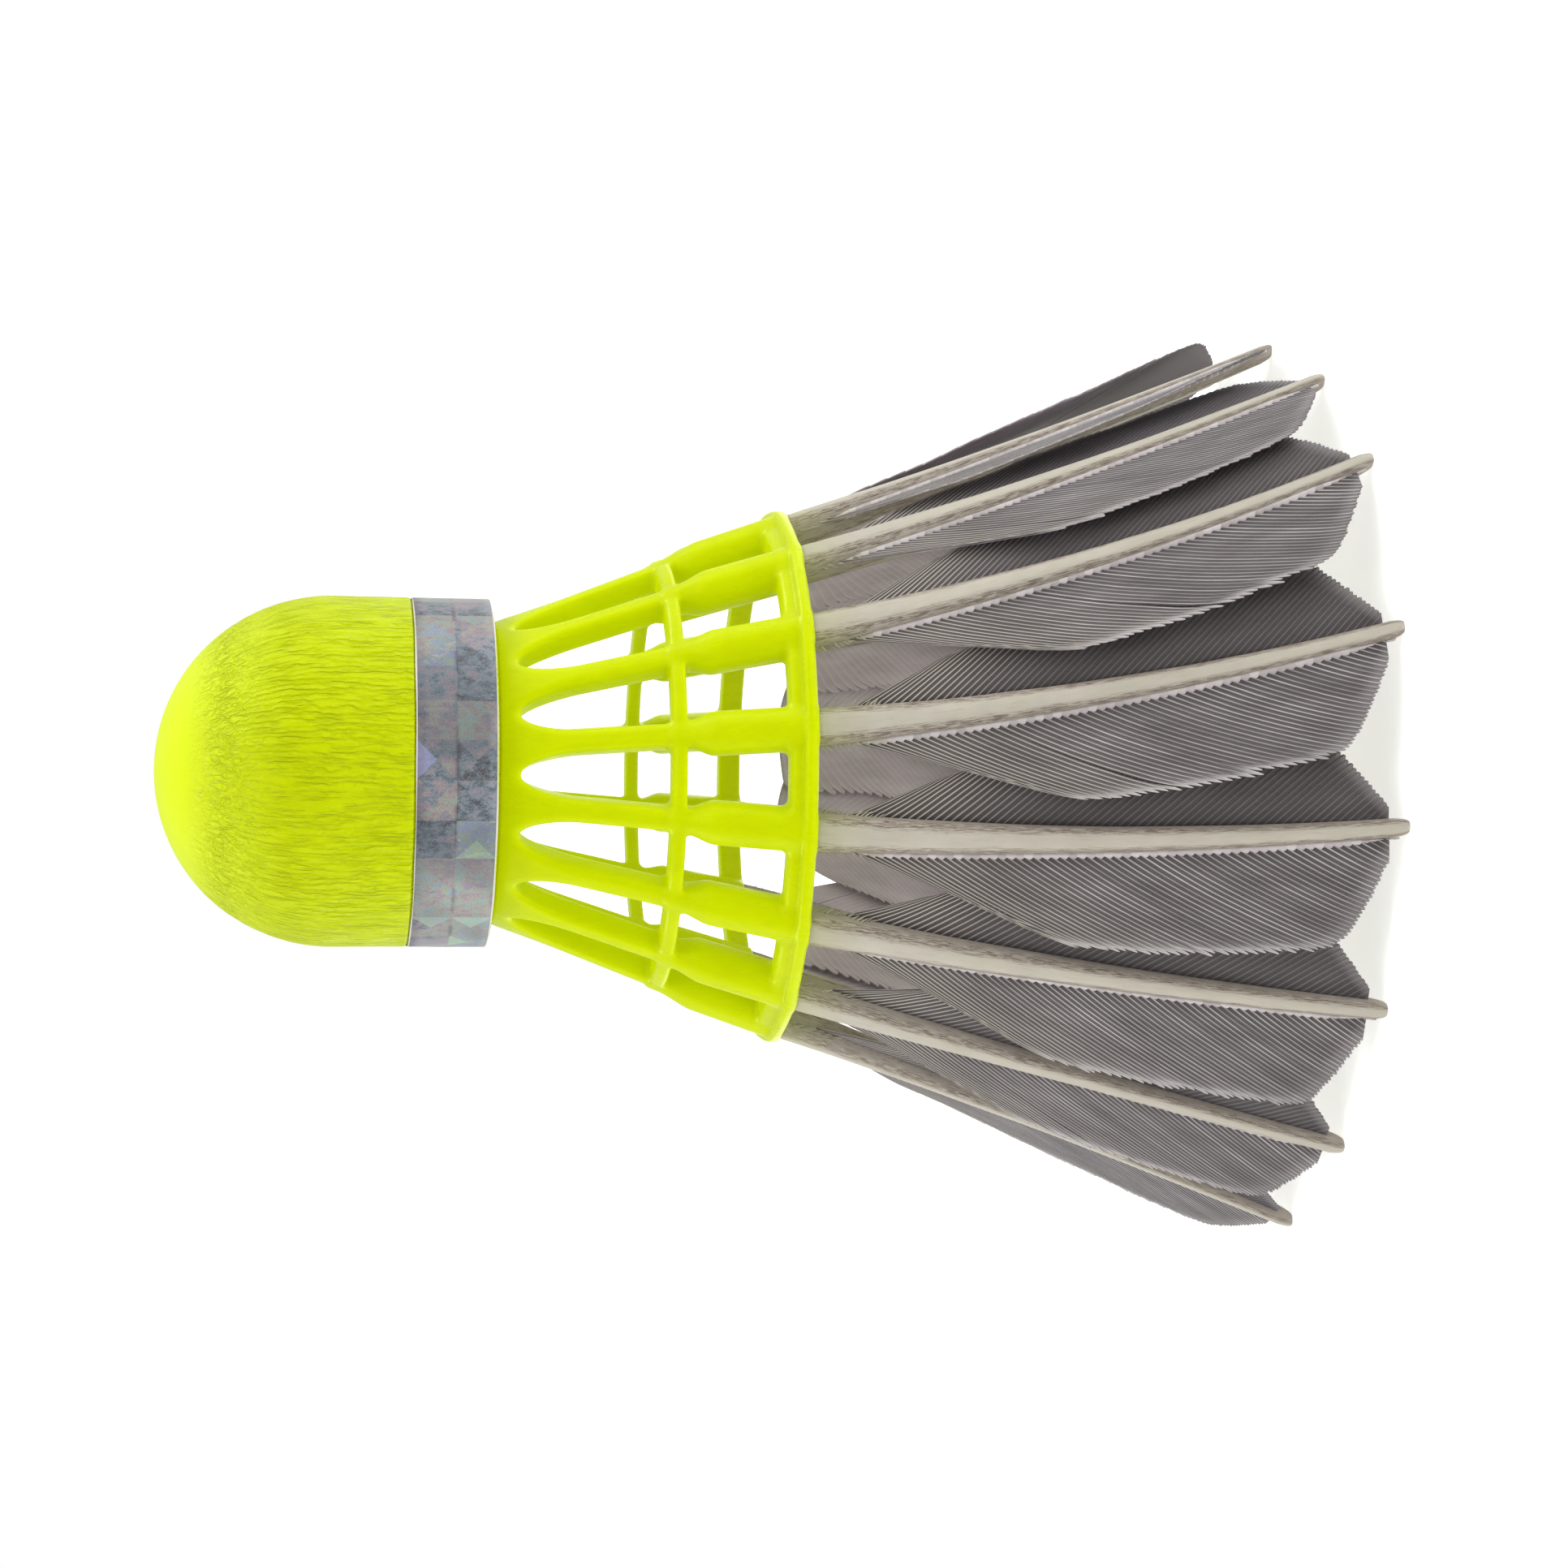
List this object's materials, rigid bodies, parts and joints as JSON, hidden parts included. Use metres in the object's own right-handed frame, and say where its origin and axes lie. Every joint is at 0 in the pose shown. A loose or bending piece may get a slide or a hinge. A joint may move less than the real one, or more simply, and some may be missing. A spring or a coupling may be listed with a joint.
{
  "type": "badminton shuttlecock",
  "caption": "Feather badminton shuttlecock standing on its feather tips: covered cork head, foil rim band, moulded open basket and a swirled skirt of overlapping feathers.",
  "frame": {"origin": "centre of the circle of feather tips, in the plane of the tips", "axes": "+Z from the tips to the cork nose, along the flight axis; -Y lies midway between two feathers"},
  "size_m": [0.0688, 0.0688, 0.084],
  "materials": {
    "cover_leather": "soft synthetic leather, semi-gloss, smooth on the nose and finely wrinkled towards the rim",
    "rim_foil": "holographic silver film with square faceted cells that break the light into pale colours",
    "basket_plastic": "glossy, slightly translucent injection-moulded nylon",
    "cork": "pressed granular cork, matt",
    "quill": "natural feather shaft, cream with brown-grey sides, satin",
    "feather_vane": "natural feather vane, dark grey-brown, fine ribs along its barbs, soft sheen"
  },
  "bodies": {
    "root": {"cork_nose": "cork", "cork_base": "cork", "head_cover": "cover_leather", "rim_tape": "rim_foil", "skirt_frame": "basket_plastic", "shaft_01": "quill", "over_vane_01": "feather_vane", "under_vane_01": "feather_vane", "shaft_02": "quill", "over_vane_02": "feather_vane", "under_vane_02": "feather_vane", "shaft_03": "quill", "over_vane_03": "feather_vane", "under_vane_03": "feather_vane", "shaft_04": "quill", "over_vane_04": "feather_vane", "under_vane_04": "feather_vane", "shaft_05": "quill", "over_vane_05": "feather_vane", "under_vane_05": "feather_vane", "shaft_06": "quill", "over_vane_06": "feather_vane", "under_vane_06": "feather_vane", "shaft_07": "quill", "over_vane_07": "feather_vane", "under_vane_07": "feather_vane", "shaft_08": "quill", "over_vane_08": "feather_vane", "under_vane_08": "feather_vane", "shaft_09": "quill", "over_vane_09": "feather_vane", "under_vane_09": "feather_vane", "shaft_10": "quill", "over_vane_10": "feather_vane", "under_vane_10": "feather_vane", "shaft_11": "quill", "over_vane_11": "feather_vane", "under_vane_11": "feather_vane", "shaft_12": "quill", "over_vane_12": "feather_vane", "under_vane_12": "feather_vane", "shaft_13": "quill", "over_vane_13": "feather_vane", "under_vane_13": "feather_vane", "shaft_14": "quill", "over_vane_14": "feather_vane", "under_vane_14": "feather_vane", "shaft_15": "quill", "over_vane_15": "feather_vane", "under_vane_15": "feather_vane", "shaft_16": "quill", "over_vane_16": "feather_vane", "under_vane_16": "feather_vane"}
  },
  "joints": []
}
